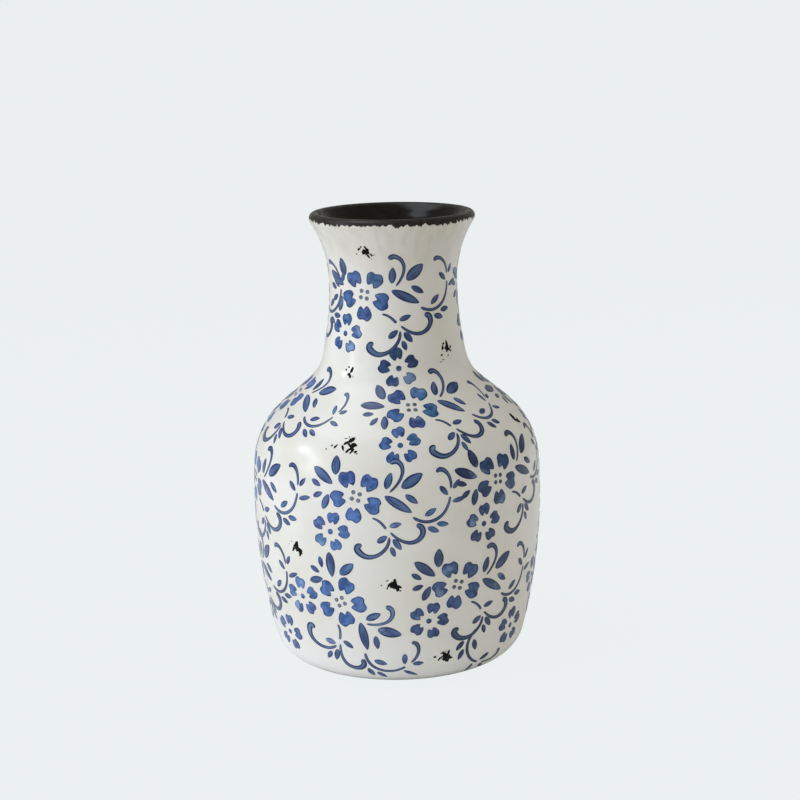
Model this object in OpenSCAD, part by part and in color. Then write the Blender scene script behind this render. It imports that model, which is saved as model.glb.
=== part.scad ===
// Blue and white pottery vase: a dark clay vessel with a cream coat outside,
// a black band round its lip, a black glaze inside and a dry foot ring.
// The outside is one chain of arcs that are tangent where they meet. Every layer of the wall
// is the same chain, moved inwards, so neighbouring layers share their faces.

/* [Vessel] */
// Height from the table to the crest of the lip
height = 280; // [270:1:300]
// Widest diameter of the belly
belly_d = 178; // [170:1:190]
// Height of the belly's widest ring
belly_z = 106; // [98:1:112]
// Height where the shoulder starts to turn in
shoulder_z = 126; // [120:1:128]
// Radius of the shoulder's round
shoulder_r = 51; // [46:1:53]

/* [Neck] */
// Narrowest diameter of the neck
neck_d = 78; // [70:1:86]
// Height of the neck's narrowest ring
neck_z = 237; // [230:1:244]
// Radius of the long curve under the narrowest ring
neck_r = 200; // [160:5:260]
// Height where the neck starts to spread into the shoulder
throat_z = 192; // [190:1:198]
// Radius of the hollow between neck and shoulder
throat_r = 30; // [24:1:32]
// Widest diameter of the mouth, over the lip
mouth_d = 101; // [94:1:110]
// Angle round the lip, up from its widest ring, where the cream coat ends and the black band starts
rim_start = 8; // [0:1:40]

/* [Foot] */
// Diameter of the foot ring, where the round of the base ends
foot_d = 114; // [104:1:122]
// Radius of the round between the side and the base
foot_round = 22; // [18:1:25]
// Height of the dry foot ring
foot_h = 1.5; // [1:0.5:3]
// Width of the foot ring
foot_w = 7; // [4:0.5:12]
// Bevel along the foot ring's edges
foot_bevel = 0.6; // [0.2:0.1:1]

/* [Wall] */
// Thickness of the wall with its coats; the lip is a half round of this width
wall = 7; // [5:0.5:9]
// Thickness of each coat: cream, rim and lining
coat = 0.6; // [0.4:0.1:1]

/* [Hidden] */
$fn = 180;
chord_error = 0.02;

clay_colour = "#3a322c";
cream_colour = "#ebe7de";
rim_colour = "#2b2724";
lining_colour = "#141312";

belly_rad = belly_d / 2;
neck_rad = neck_d / 2;
foot_rad = foot_d / 2;
lip_r = wall / 2;

// Round of the base: it ends flat on the plane of the foot ring's top
foot_c = [foot_rad, foot_h + foot_round];

// Side: vertical at the belly's widest ring, and tangent to the round of the base
side_dx = belly_rad - foot_c.x;
side_dz = belly_z - foot_c.y;
side_r = (side_dx ^ 2 + side_dz ^ 2 - foot_round ^ 2) / (2 * (side_dx - foot_round));
side_c = [belly_rad - side_r, belly_z];
foot_turn = atan2(foot_c.y - side_c.y, foot_c.x - side_c.x);

// Shoulder: leaves the side at shoulder_z
shoulder_turn = asin((shoulder_z - belly_z) / side_r);
shoulder_c = side_c + (side_r - shoulder_r) * heading(shoulder_turn);

// Neck: vertical at its narrowest ring; the throat leaves it at throat_z
neck_c = [neck_rad + neck_r, neck_z];
throat_turn = asin((neck_z - throat_z) / neck_r);
throat_c = neck_c - (neck_r - throat_r) * heading(throat_turn);

// Slope: the straight line that touches both the shoulder and the throat
slope_run = throat_c - shoulder_c;
slope_turn = atan2(slope_run.y, slope_run.x) - acos((shoulder_r + throat_r) / norm(slope_run));

// Flare: vertical at the narrowest ring, and tangent to the round of the lip
lip_c = [mouth_d / 2 - lip_r, height - lip_r];
flare_dx = neck_rad - lip_c.x;
flare_dz = lip_c.y - neck_z;
flare_r = (flare_dx ^ 2 + flare_dz ^ 2 - lip_r ^ 2) / (2 * (lip_r - flare_dx));
flare_c = [neck_rad + flare_r, neck_z];
lip_turn = atan2(flare_c.y - lip_c.y, flare_c.x - lip_c.x);

function heading(turn) = [cos(turn), sin(turn)];

function reversed(points) = [for (i = [len(points) - 1:-1:0]) points[i]];

// Number of chords that keep an arc within chord_error of its circle
function chords(r, from, to) = ceil(abs(to - from) / (2 * acos(1 - chord_error / r)));

// Points of a round arc, moved inwards by depth; its heading turns from one angle to the other
function round_arc(centre, r, from, to, depth) =
    let (n = chords(r, from, to))
    [for (i = [0:n]) centre + (r - depth) * heading(from + (to - from) * i / n)];

// Points of an arc that hollows the wall, moved inwards by depth
function hollow_arc(centre, r, from, to, depth) =
    let (n = chords(r, from, to))
    [for (i = [0:n]) centre - (r + depth) * heading(from + (to - from) * i / n)];

// Points from the foot to the lip, on the layer at this depth under the outside
function side_line(depth) = concat(
    round_arc(foot_c, foot_round, -90, foot_turn, depth),
    round_arc(side_c, side_r, foot_turn, shoulder_turn, depth),
    round_arc(shoulder_c, shoulder_r, shoulder_turn, slope_turn, depth),
    hollow_arc(throat_c, throat_r, slope_turn, throat_turn, depth),
    hollow_arc(neck_c, neck_r, throat_turn, 0, depth),
    hollow_arc(flare_c, flare_r, 0, lip_turn, depth)
);

// Points round the outside of the lip, from the flare to the black band
function lip_side(depth) = round_arc(lip_c, lip_r, lip_turn, rim_start, depth);

// Points over the crest of the lip, from the cream coat to the lining
function lip_crest(depth) = round_arc(lip_c, lip_r, rim_start, lip_turn + 180, depth);

// Points of the foot ring's underside, from the inside to the outside
foot_inside = foot_rad - foot_w;
foot_line = [
    [foot_inside, foot_h + coat], [foot_inside, foot_bevel], [foot_inside + foot_bevel, 0],
    [foot_rad - foot_bevel, 0], [foot_rad, foot_bevel]
];

// The same points, without those that repeat the one before them
function distinct(points) = [
    for (i = [0:len(points) - 1])
        if (i == 0 || norm(points[i] - points[max(i - 1, 0)]) > 0.001) points[i]
];

module turned(colour, points) {
    color(colour) rotate_extrude() polygon(distinct(points));
}

module clay_body() {
    turned(clay_colour, concat(
        [[0, foot_h + coat]], foot_line, side_line(coat), lip_side(coat), lip_crest(coat),
        reversed(side_line(wall - coat)), [[0, foot_h + wall - coat]]
    ));
}

module cream_coat() {
    turned(cream_colour, concat(
        side_line(0), lip_side(0), reversed(lip_side(coat)), reversed(side_line(coat))
    ));
}

module rim_band() {
    turned(rim_colour, concat(lip_crest(0), reversed(lip_crest(coat))));
}

module inner_glaze() {
    turned(lining_colour, concat(
        [[0, foot_h + wall - coat]], side_line(wall - coat),
        reversed(side_line(wall)), [[0, foot_h + wall]]
    ));
}

clay_body();
cream_coat();
rim_band();
inner_glaze();
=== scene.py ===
"""Looks of a blue and white pottery vase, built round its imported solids.

The walls are turned from the outlines of the solids. The painted sprigs are modelled flat, stroke by
stroke, and each copy is laid round the wall from its own place, like a paper stencil.
"""
import math
from collections import namedtuple

import bmesh
import bpy
import numpy as np
from bpy.props import FloatProperty, FloatVectorProperty, IntProperty, PointerProperty
from bpy.types import Operator, Panel, PropertyGroup
from mathutils import Matrix, Vector, noise


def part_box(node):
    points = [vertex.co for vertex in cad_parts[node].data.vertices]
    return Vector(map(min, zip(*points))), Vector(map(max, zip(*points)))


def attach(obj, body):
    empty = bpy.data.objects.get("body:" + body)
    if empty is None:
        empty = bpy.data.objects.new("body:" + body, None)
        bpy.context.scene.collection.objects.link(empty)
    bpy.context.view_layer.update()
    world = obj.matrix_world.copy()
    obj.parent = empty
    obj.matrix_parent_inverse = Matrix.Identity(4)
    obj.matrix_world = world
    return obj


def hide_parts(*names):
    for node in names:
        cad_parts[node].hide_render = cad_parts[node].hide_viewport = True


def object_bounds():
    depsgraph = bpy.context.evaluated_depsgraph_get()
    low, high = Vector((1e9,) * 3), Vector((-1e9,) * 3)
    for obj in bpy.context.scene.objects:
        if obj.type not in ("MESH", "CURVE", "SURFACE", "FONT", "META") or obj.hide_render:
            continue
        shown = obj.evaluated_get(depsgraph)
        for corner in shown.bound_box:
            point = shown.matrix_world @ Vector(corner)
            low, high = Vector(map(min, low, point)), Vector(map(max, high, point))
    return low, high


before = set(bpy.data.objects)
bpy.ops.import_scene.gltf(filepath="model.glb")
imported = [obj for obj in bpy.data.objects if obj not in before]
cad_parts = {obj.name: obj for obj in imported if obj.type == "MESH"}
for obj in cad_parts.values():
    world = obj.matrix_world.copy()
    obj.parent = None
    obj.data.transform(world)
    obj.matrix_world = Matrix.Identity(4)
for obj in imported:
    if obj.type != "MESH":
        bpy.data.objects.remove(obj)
CAD_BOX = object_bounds()

bl_info = {
    "name": "Painted pottery vase",
    "version": (1, 0, 0),
    "blender": (4, 5, 0),
    "location": "View3D > Sidebar > Vase",
    "description": "Glazes, ragged rim, painted sprigs and worn spots of a pottery vase",
    "category": "Add Mesh",
}

MM = 0.001
PHOTO_SIDE = 800
SENSOR_WIDTH = 36.0
SEED = 7


def linear(hex_colour):
    """A colour written as six hex digits, as the numbers that shaders take."""
    shares = [int(hex_colour[i:i + 2], 16) / 255 for i in (0, 2, 4)]
    return tuple(c / 12.92 if c < 0.04045 else ((c + 0.055) / 1.055) ** 2.4 for c in shares)


def length(name, description, millimetres):
    """A size that a user may change, given in millimetres."""
    return FloatProperty(name=name, description=description, default=millimetres * MM,
                         min=0.0, precision=5, unit="LENGTH", subtype="DISTANCE")


def colour(name, description, hex_colour):
    """A colour that a user may change."""
    return FloatVectorProperty(name=name, description=description, default=linear(hex_colour),
                               size=3, min=0.0, max=1.0, subtype="COLOR")


def facets(name, description, number):
    """A number of facets that a user may change."""
    return IntProperty(name=name, description=description, default=number, min=24)


class VaseWall(PropertyGroup):
    """Sizes of the glazed walls"""

    turns: facets("Turns", "Facets round the vase", 240)
    lining_turns: facets("Lining turns", "Facets round the lining", 200)
    row_step: length("Row step", "Height of one row of facets", 2.0)
    coat_wall: length("Coat thickness", "Thickness of the cream coat", 0.5)
    tooth_height: length("Tooth height", "Depth of the teeth along the coat's ragged edge", 1.9)
    tooth_pitch: length("Tooth pitch", "Mean distance between two teeth", 2.7)
    edge_drift: length("Edge drift", "How far the ragged edge wanders up and down", 0.5)
    edge_zone: length("Edge zone", "Height of the strip that follows the teeth", 3.6)
    rim_sink: length("Rim sink", "How far the black rim lies under the coat's face", 0.12)
    rim_wall: length("Rim thickness", "Thickness of the black rim's shell", 0.4)
    rim_skirt: length("Rim skirt", "How far the black rim runs on under the coat", 3.6)
    ring_height: length("Ring height", "Height of the throwing rings inside", 0.16)
    ring_pitch: length("Ring pitch", "Distance between two throwing rings inside", 6.0)


class VasePaint(PropertyGroup):
    """Sizes of the painted strokes and worn spots"""

    rise: length("Rise", "How far the paint stands off the coat", 0.1)
    edge_drop: length("Edge drop", "How far a stroke's edge lies under its middle", 0.045)
    wall: length("Thickness", "Thickness of a painted stroke", 0.3)
    outline: length("Outline", "Width of a petal's dark outline", 0.8)
    petal_width: length("Petal width", "Width of a large petal", 10.8)
    petal_length: length("Petal length", "Length of a large petal", 10.4)
    petal_ring: length("Petal ring", "Distance from a large flower's centre to its petals", 11.2)
    bud_share: FloatProperty(name="Bud share", default=0.77, min=0.1, max=1.0, subtype="FACTOR",
                             description="Size of a small flower's petals to a large one's")
    bud_ring: length("Bud ring", "Distance from a small flower's centre to its petals", 8.5)
    spot_cell: length("Spot cell", "Size of the grains that worn spots are made of", 0.34)
    spot_rise: length("Spot rise", "How far a worn spot stands off the coat", 0.08)


class VaseColours(PropertyGroup):
    """Colours of the glazes, paints and clay"""

    cream: colour("Cream", "Tin glaze of the coat", "eae7de")
    cream_warm: colour("Warm cream", "Warmer patches of the coat", "e7e2d6")
    # Also painted light: this colour lightens the coat towards the foot, as painted bounce light from the
    # floor
    cream_pale_and_bounce_light: colour("Pale cream", "Paler patches of the coat", "f3f2ee")
    # Also painted shade: besides the runs, this colour evenly darkens the whole flare under the rim
    streak_and_shade: colour("Streak", "Runs and stains under the rim", "c9c1b2")
    cobalt: colour("Cobalt", "Main blue of the petals", "396eb9")
    violet: colour("Violet", "Violet blue of some strokes", "4b579f")
    turquoise: colour("Turquoise", "Greenish blue of some strokes", "3575a2")
    leaf: colour("Leaf", "Main blue of the leaves", "38568b")
    washed: colour("Washed", "Pale blue of places where the paint ran thin", "9dbbe2")
    outline: colour("Outline", "Dark pools along a petal's or leaf's edge", "1b2b5c")
    # Painted shade as well: mixed in by each sprig's depth, it darkens the sprigs that face away from the
    # key lamp
    shade: colour("Shade", "Darkening of the sprigs that were painted more heavily", "161a30")
    tendril: colour("Tendril", "Grey blue of the tendrils", "566ea0")
    tendril_edge: colour("Tendril edge", "Dark slate along a tendril's edges", "1a284c")
    dot: colour("Dot", "Grey of the flowers' middle dots", "8b919c")
    rim: colour("Rim", "Brown black of the rim", "1f1c1a")
    rim_worn: colour("Worn rim", "Worn and dusty places of the rim", "35312d")
    lining: colour("Lining", "Black of the inside", "090808")
    # Also a painted contact shadow: this colour darkens the coat's lowest edge
    clay: colour("Clay", "Fired clay of the foot ring", "4b4138")
    backdrop: colour("Backdrop", "Floor and backdrop", "edf1f2")


class VaseStage(PropertyGroup):
    """Camera and light"""

    distance: length("Distance", "From the camera to the middle of the vase", 1219)
    elevation: FloatProperty(name="Elevation", description="Height of the camera above the horizon",
                             default=math.radians(13.08), subtype="ANGLE")
    roll: FloatProperty(name="Roll", description="Turn of the camera about its line of sight",
                        default=math.radians(-1.15), subtype="ANGLE")
    pixel: length("Pixel", "Real width of one pixel at the vase's axis", 1 / 1.607)
    centre_x: FloatProperty(name="Centre X", description="Pixel column of the vase's middle", default=396.2)
    centre_y: FloatProperty(name="Centre Y", description="Pixel row of the vase's middle", default=435.2)


class VaseSettings(PropertyGroup):
    """All that a user may change on the vase"""

    wall: PointerProperty(type=VaseWall)
    paint: PointerProperty(type=VasePaint)
    colours: PointerProperty(type=VaseColours)
    stage: PointerProperty(type=VaseStage)


# Outlines of the turned walls

FINE_STEP = 0.25 * MM
SAME_POINT = 0.1 * MM


def smooth_line(points, samples):
    """Places at equal steps along a smooth line through the points."""
    points = np.asarray(points, float)
    steps = np.linalg.norm(np.diff(points, axis=0), axis=1)
    marks = np.concatenate([[0.0], np.cumsum(steps)])
    slopes = np.gradient(points, marks, axis=0, edge_order=2)
    places = np.linspace(0.0, marks[-1], samples)
    left = np.clip(np.searchsorted(marks, places, side="right") - 1, 0, len(steps) - 1)
    span = steps[left][:, None]
    t = (places - marks[left])[:, None] / span
    return ((2 * t ** 3 - 3 * t ** 2 + 1) * points[left]
            + (t ** 3 - 2 * t ** 2 + t) * span * slopes[left]
            + (3 * t ** 2 - 2 * t ** 3) * points[left + 1]
            + (t ** 3 - t ** 2) * span * slopes[left + 1])


def turned_points(node, faces_chosen):
    """Outline points (radius, height) of a turned node, on the faces whose normal passes the test."""
    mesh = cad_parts[node].data
    points = set()
    for face in mesh.polygons:
        out = Vector((face.center.x, face.center.y, 0.0)).normalized()
        if faces_chosen(face.normal.dot(out), face.normal.z):
            for i in face.vertices:
                place = mesh.vertices[i].co
                points.add((round(math.hypot(place.x, place.y), 5), round(place.z, 5)))
    return points


def thinned(points):
    """The points without those that lie on the one before them."""
    kept = [points[0]]
    for point in points[1:]:
        if math.dist(point, kept[-1]) > SAME_POINT:
            kept.append(point)
    return kept


class WallLine:
    """The outline of a turned wall, measured by its length from the lower end."""

    def __init__(self, points):
        points = np.array(thinned(points))
        whole = np.linalg.norm(np.diff(points, axis=0), axis=1).sum()
        places = smooth_line(points, int(whole / FINE_STEP) + 1)
        steps = np.linalg.norm(np.diff(places, axis=0), axis=1)
        self.marks = np.concatenate([[0.0], np.cumsum(steps)])
        self.length = self.marks[-1]
        self.radii, self.heights = places.T
        along = np.gradient(places, self.marks, axis=0)
        along /= np.linalg.norm(along, axis=1)[:, None]
        self.widening = along[:, 0]
        self.climb = along[:, 1]

    def mark_at(self, height):
        """Length along the outline at a height, on the stretch that climbs."""
        top = int(np.argmax(self.heights)) + 1
        return np.interp(height, self.heights[:top], self.marks[:top])

    def radius(self, mark):
        """Radius of the wall at a length along the outline."""
        return np.interp(mark, self.marks, self.radii)

    def outline(self, marks, rise=0.0):
        """Points (radius, height) at these lengths, moved off the wall by the rise."""
        out = np.interp(marks, self.marks, self.climb)
        up = -np.interp(marks, self.marks, self.widening)
        return np.column_stack([self.radius(marks) + rise * out,
                                np.interp(marks, self.marks, self.heights) + rise * up])

    def places(self, marks, angles, rise=0.0):
        """Places on the wall, at angles counted from the front to the right."""
        radii, heights = self.outline(marks, rise).T
        return np.column_stack([radii * np.sin(angles), -radii * np.cos(angles), heights])


# How much of a face's normal has to point the way that counts
FACES_OUT = 0.02
COAT_POINTS = sorted(turned_points("cream_coat", lambda out, up: out > FACES_OUT), key=lambda p: p[1])
RIM_POINTS = sorted(turned_points("rim_band", lambda out, up: up > FACES_OUT), key=lambda p: -p[0])
LINING_POINTS = sorted(turned_points("inner_glaze", lambda out, up: out < -FACES_OUT), key=lambda p: p[1])
OUTSIDE = WallLine(COAT_POINTS + RIM_POINTS)
INSIDE = WallLine([(0.0, LINING_POINTS[0][1])] + LINING_POINTS)
COAT_END = OUTSIDE.mark_at(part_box("cream_coat")[1].z)


# Modelling steps that several pieces share

SAME_VERTEX = 0.001 * MM
CREASE = math.radians(40)


def start_piece(name, add, **sizes):
    """Adds a primitive as a new piece, with nothing else selected, and opens it in edit mode."""
    bpy.ops.object.select_all(action="DESELECT")
    add(location=(0.0, 0.0, 0.0), **sizes)
    piece = bpy.context.object
    piece.name = name
    piece.data.name = name
    bpy.ops.object.mode_set(mode="EDIT")
    return piece


def select_where(piece, test):
    """Selects the vertices in edit mode whose place passes the test."""
    bpy.ops.mesh.select_all(action="DESELECT")
    mesh = bmesh.from_edit_mesh(piece.data)
    for vertex in mesh.verts:
        vertex.select_set(bool(test(vertex.co)))
    mesh.select_flush_mode()
    bmesh.update_edit_mesh(piece.data)


def select_faces(piece, test):
    """Selects the faces in edit mode whose middle passes the test."""
    bpy.ops.mesh.select_mode(type="FACE")
    bpy.ops.mesh.select_all(action="DESELECT")
    mesh = bmesh.from_edit_mesh(piece.data)
    for face in mesh.faces:
        face.select_set(bool(test(face.calc_center_median())))
    bmesh.update_edit_mesh(piece.data)


def make_active(piece):
    """Selects one piece alone."""
    bpy.ops.object.select_all(action="DESELECT")
    piece.select_set(True)
    bpy.context.view_layer.objects.active = piece


def read_places(piece):
    """Places of a piece's vertices, one row each."""
    places = np.empty(len(piece.data.vertices) * 3, np.float32)
    piece.data.vertices.foreach_get("co", places)
    return places.reshape(-1, 3).astype(float)


def write_places(piece, places):
    """Moves a piece's vertices to new places."""
    piece.data.vertices.foreach_set("co", np.asarray(places, np.float32).ravel())
    piece.data.update()


def turn_outline(name, outline, turns, inside=False):
    """Draws an outline of (radius, height) points and spins it round the vase's axis into a skin."""
    piece = start_piece(name, bpy.ops.mesh.primitive_plane_add, size=MM)
    bpy.ops.mesh.merge(type="CENTER")
    steps = np.diff(outline, axis=0, prepend=[(0.0, 0.0)])
    bpy.ops.transform.translate(value=(steps[0][0], 0.0, steps[0][1]))
    for across, up in steps[1:]:
        bpy.ops.mesh.extrude_vertices_move(TRANSFORM_OT_translate={"value": (across, 0.0, up)})
    bpy.ops.mesh.select_all(action="SELECT")
    bpy.ops.mesh.spin(steps=turns, angle=math.tau, center=(0.0, 0.0, 0.0), axis=(0.0, 0.0, 1.0))
    bpy.ops.mesh.select_all(action="SELECT")
    bpy.ops.mesh.remove_doubles(threshold=SAME_VERTEX)
    bpy.ops.mesh.normals_make_consistent(inside=inside)
    bpy.ops.object.mode_set(mode="OBJECT")
    return piece


def thicken(piece, wall, even=True):
    """Gives a skin its thickness, under the face that shows."""
    make_active(piece)
    shell = piece.modifiers.new("thickness", "SOLIDIFY")
    shell.thickness = wall
    shell.offset = -1.0
    shell.use_even_offset = even
    bpy.ops.object.modifier_apply(modifier=shell.name)


def dress(piece, material):
    """Smooths a finished piece, gives it its finish and sets it on the vase."""
    make_active(piece)
    bpy.ops.object.shade_smooth_by_angle(angle=CREASE)
    piece.data.materials.clear()
    piece.data.materials.append(material)
    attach(piece, "root")


def join_pieces(name, pieces):
    """Joins pieces into one and gives it a name."""
    make_active(pieces[0])
    for piece in pieces:
        piece.select_set(True)
    if len(pieces) > 1:
        bpy.ops.object.join()
    joined = bpy.context.object
    joined.name = name
    joined.data.name = name
    return joined


def remove_pieces(pieces):
    """Removes stamps and sheets that have been copied."""
    for piece in pieces:
        bpy.data.meshes.remove(piece.data)


# Flat strokes of the painted sprig, in millimetres from the middle of its large flower

Leaf = namedtuple("Leaf", "x y length width turn")
Tendril = namedtuple("Tendril", "points widths")
Place = namedtuple("Place", "angle height turn depth groups")
Spot = namedtuple("Spot", "angle height turn bits")
Bit = namedtuple("Bit", "x y length width turn")

SPRIG_LEAVES = {
    "flower": [
        Leaf(-12.9, 17.7, 11.5, 6.0, 90), Leaf(-21.0, 11.0, 15.5, 6.0, -35),
        Leaf(-25.8, 6.3, 7.0, 3.4, -28), Leaf(-24.7, -0.6, 7.0, 3.4, 24),
        Leaf(-19.3, -4.4, 10.0, 4.6, 66), Leaf(19.2, 9.6, 10.0, 4.6, 74),
        Leaf(33.0, 9.6, 14.5, 6.8, 34), Leaf(25.0, -4.3, 18.6, 5.6, -32),
        Leaf(32.8, -1.2, 9.0, 3.8, -36),
    ],
    "curls": [
        Leaf(23.2, -16.6, 7.4, 3.4, 14), Leaf(15.2, -25.4, 7.2, 3.8, 35),
        Leaf(24.0, -28.4, 8.0, 3.8, -54), Leaf(21.4, -33.0, 6.4, 3.2, -72),
    ],
    "runner": [
        Leaf(44.0, -9.4, 8.0, 3.6, 32), Leaf(45.5, -20.0, 7.4, 3.6, -22),
        Leaf(51.2, -16.9, 7.4, 3.4, -4), Leaf(52.1, 3.0, 7.4, 3.4, -48),
        Leaf(60.0, 6.4, 6.6, 3.0, 52), Leaf(61.8, -2.9, 9.0, 3.0, 14),
    ],
}
SPRIG_TENDRILS = {
    "flower": [
        Tendril([(20, 3), (23.5, 6.5), (26.3, 11), (27.2, 15.5), (25.6, 19.5), (22.4, 21.2), (19.6, 19.6)],
                (1.2, 2.0, 3.2, 3.1)),
    ],
    "curls": [
        Tendril([(9.6, -12.6), (12.4, -13.6), (15.2, -15.8), (17.6, -19)], (1.3, 1.5, 1.7, 1.7)),
        Tendril([(20.2, -21), (23.5, -24.2), (28, -26.8), (32.5, -27.4), (36.8, -25.6), (39.2, -21.8),
                 (38.4, -18.2), (35.4, -17)], (1.3, 2.5, 3.7, 3.3)),
        Tendril([(19.4, -24), (18.4, -29), (15.2, -33.2), (10.4, -36), (5.4, -36.3), (1.5, -34),
                 (0.1, -31.6), (1, -30), (2.9, -30.2)], (1.7, 2.4, 4.5, 3.7)),
    ],
    "runner": [
        Tendril([(33.4, -12), (37.5, -14.3), (42.5, -15.1), (47.5, -13.8), (51.8, -10.6), (54.6, -6),
                 (56, -0.8)], (1.8, 2.0, 1.6, 1.4)),
        Tendril([(56.4, 3.8), (56.2, 8.5), (54.2, 12.7), (51.2, 15.1), (48.4, 15.2), (47.9, 13.6)],
                (1.4, 2.0, 2.9, 2.6)),
    ],
}
PETAL_COUNT = 5
FLOWER_TURN = 46
FLOWER_DOTS = 4
FLOWER_DOT_RING = 2.8
FLOWER_DOT_TURN = 30
FLOWER_DOT_RADIUS = 1.3
BUD_CENTRES = {"bud": (-16.6, -22.4), "lone_bud": (0.0, 0.0)}
BUD_TURN = 76
BUD_DOT_RADIUS = 1.7

# Where the sprigs are painted: angle from the front to the right, height in millimetres, turn on the wall,
# depth of the blue (heavier paint, and painted shade on the sprigs that face away from the key lamp)
# and groups of strokes, row by row from the neck down, then single flowers and runners
WHOLE = ("flower", "bud", "curls", "runner")
FLOWERING = ("flower", "bud", "curls")
PLACES = [
    Place(-26.4, 234.2, 7, 0.45, WHOLE), Place(108, 234, 7, 0.5, WHOLE),
    Place(225, 231.5, 7, 0.3, ("flower", "bud", "runner")), Place(233, 229, 7, 0.3, ("curls",)),
    Place(9, 170.5, 15, 0.3, FLOWERING), Place(11.6, 170.5, 15, 0.3, ("runner",)),
    Place(99, 170.5, 15, 0.6, WHOLE), Place(189, 170.5, 15, 0.2, WHOLE),
    Place(278, 170.6, 11.5, 0.05, FLOWERING), Place(279.6, 170.6, 11.5, 0.05, ("runner",)),
    Place(-15.9, 123.7, 0, 0.1, WHOLE), Place(42.5, 127.6, 11, 0.88, WHOLE),
    Place(102, 124, 0, 0.5, WHOLE), Place(162, 127, 6, 0.1, WHOLE), Place(222, 124, 0, 0.3, WHOLE),
    Place(281.9, 120.9, 2, 0.05, WHOLE), Place(23.5, 67.3, -1.5, 0.7, WHOLE),
    Place(-24, 57.6, -50.3, 0.12, WHOLE), Place(272.4, 64, 5, 0.25, WHOLE),
    Place(92, 62, -40, 0.6, FLOWERING), Place(138, 68, 0, 0.2, WHOLE), Place(200, 58, -52, 0.4, WHOLE),
    Place(3, 191, 23, 0.9, ("lone_bud",)), Place(125, 191, 0, 0.4, ("lone_bud",)),
    Place(245, 191, 0, 0.1, ("lone_bud",)), Place(-56.4, 28.5, 0, 0.4, ("lone_bud",)),
    Place(56.2, 29.8, 16, 0.85, ("lone_bud",)), Place(170, 28, 0, 0.3, ("lone_bud",)),
    Place(47.6, 65, -103, 0.8, ("runner",)), Place(158, 71, -90, 0.3, ("runner",)),
    Place(238, 57, 20, 0.3, ("lone_bud",)),
]

# The strokes are painted in layers, and a later one lies a little higher, also from sprig to sprig
LAYERS = {"leaf_strokes": 1, "small_flower_petals": 2, "large_flower_petals": 3, "flower_dots": 4,
          "tendril_strokes": 4}
LAYER_STEP = 0.012 * MM
SPRIG_STEP = 0.2 * LAYER_STEP

# Facets of the flat strokes
STROKE_ROWS = 4
LEAF_COLUMNS = 14
PETAL_SIDES = 32
DOT_SIDES = 16
TENDRIL_STEP = 1.0
TENDRIL_ENDS = 4
TENDRIL_SAMPLES = 200

# A petal's form, as shares of its width or length, and how its copies differ in size and turn
TAPER = 0.86
TAPER_START = 0.15
TAPER_REACH = 0.35
NOTCH_DEPTH = 0.27
NOTCH_REACH = 0.19
DENT_DEPTH = 0.13
LOBE_RISE = 0.04
LOBE_START = 0.25
LOBE_REACH = 0.3
PETAL_SIZES = (0.96, 1.05)
PETAL_SWAY = 7

# A leaf's form: below 1, the first moves its fullest place back and the second rounds its tips
LEAF_LEAN = 0.9
LEAF_FULLNESS = 0.62

# Dark borders: those of a leaf and a tendril are shares of its width, that of a dot is in millimetres
LEAF_BORDER = 0.22
TENDRIL_BORDER = 0.34
DOT_BORDER = 0.3

# Shares of a tendril's length that its widths belong to, and limits of its bends
WIDTH_SHARES = (0.0, 0.5, 0.85, 1.0)
TIGHTEST_BEND = 0.85
LEAST_BEND = 0.01


def drop_edge(paint):
    """Lowers the outer edge of the selected sheet, so that a stroke has a rounded border."""
    bpy.ops.mesh.select_all(action="SELECT")
    bpy.ops.mesh.region_to_loop()
    bpy.ops.transform.translate(value=(0.0, 0.0, -paint.edge_drop))
    bpy.ops.object.mode_set(mode="OBJECT")


def pull(way, reach, falloff="SMOOTH"):
    """Moves the selected vertices and, less and less, those within reach of them."""
    bpy.ops.transform.translate(value=way, use_proportional_edit=True, proportional_size=reach,
                                proportional_edit_falloff=falloff)


def petal_stamp(paint, share, dent_side):
    """One heart-shaped petal, flat, with the notch that faces the flower's middle at -Y.

    It tapers towards the notch, and its outer edge has a dent on one side and a lobe on the other.
    """
    width = paint.petal_width * share
    tall = paint.petal_length * share
    petal = start_piece("petal_stamp", bpy.ops.mesh.primitive_circle_add,
                        vertices=PETAL_SIDES, radius=1.0, fill_type="NGON")
    bpy.ops.transform.resize(value=(width / 2, tall / 2, 1.0))
    side = math.sin(math.tau / PETAL_SIDES) * width / 2
    select_where(petal, lambda p: p.y < -TAPER_START * tall)
    bpy.ops.transform.resize(value=(TAPER, 1.0, 1.0), center_override=(0.0, 0.0, 0.0),
                             use_proportional_edit=True, proportional_size=TAPER_REACH * tall,
                             proportional_edit_falloff="SMOOTH")
    select_where(petal, lambda p: abs(p.x) < side / 3 and p.y < 0)
    pull((0.0, NOTCH_DEPTH * tall, 0.0), NOTCH_REACH * width, "LINEAR")
    select_where(petal, lambda p: abs(p.x - dent_side * side) < side / 3 and p.y > 0)
    pull((0.0, -DENT_DEPTH * tall, 0.0), LOBE_REACH * width)
    select_where(petal, lambda p: p.x * dent_side < -LOBE_START * width and p.y > LOBE_START * tall)
    pull((0.0, LOBE_RISE * tall, 0.0), LOBE_REACH * width)
    bpy.ops.mesh.select_all(action="SELECT")
    bpy.ops.mesh.inset(thickness=paint.outline * share, use_even_offset=False)
    bpy.ops.mesh.poke()
    drop_edge(paint)
    return petal


def dot_stamp(paint):
    """One round dot of unit radius in millimetres, flat."""
    dot = start_piece("dot_stamp", bpy.ops.mesh.primitive_circle_add,
                      vertices=DOT_SIDES, radius=MM, fill_type="NGON")
    bpy.ops.mesh.select_all(action="SELECT")
    bpy.ops.mesh.inset(thickness=DOT_BORDER * MM)
    drop_edge(paint)
    return dot


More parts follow.
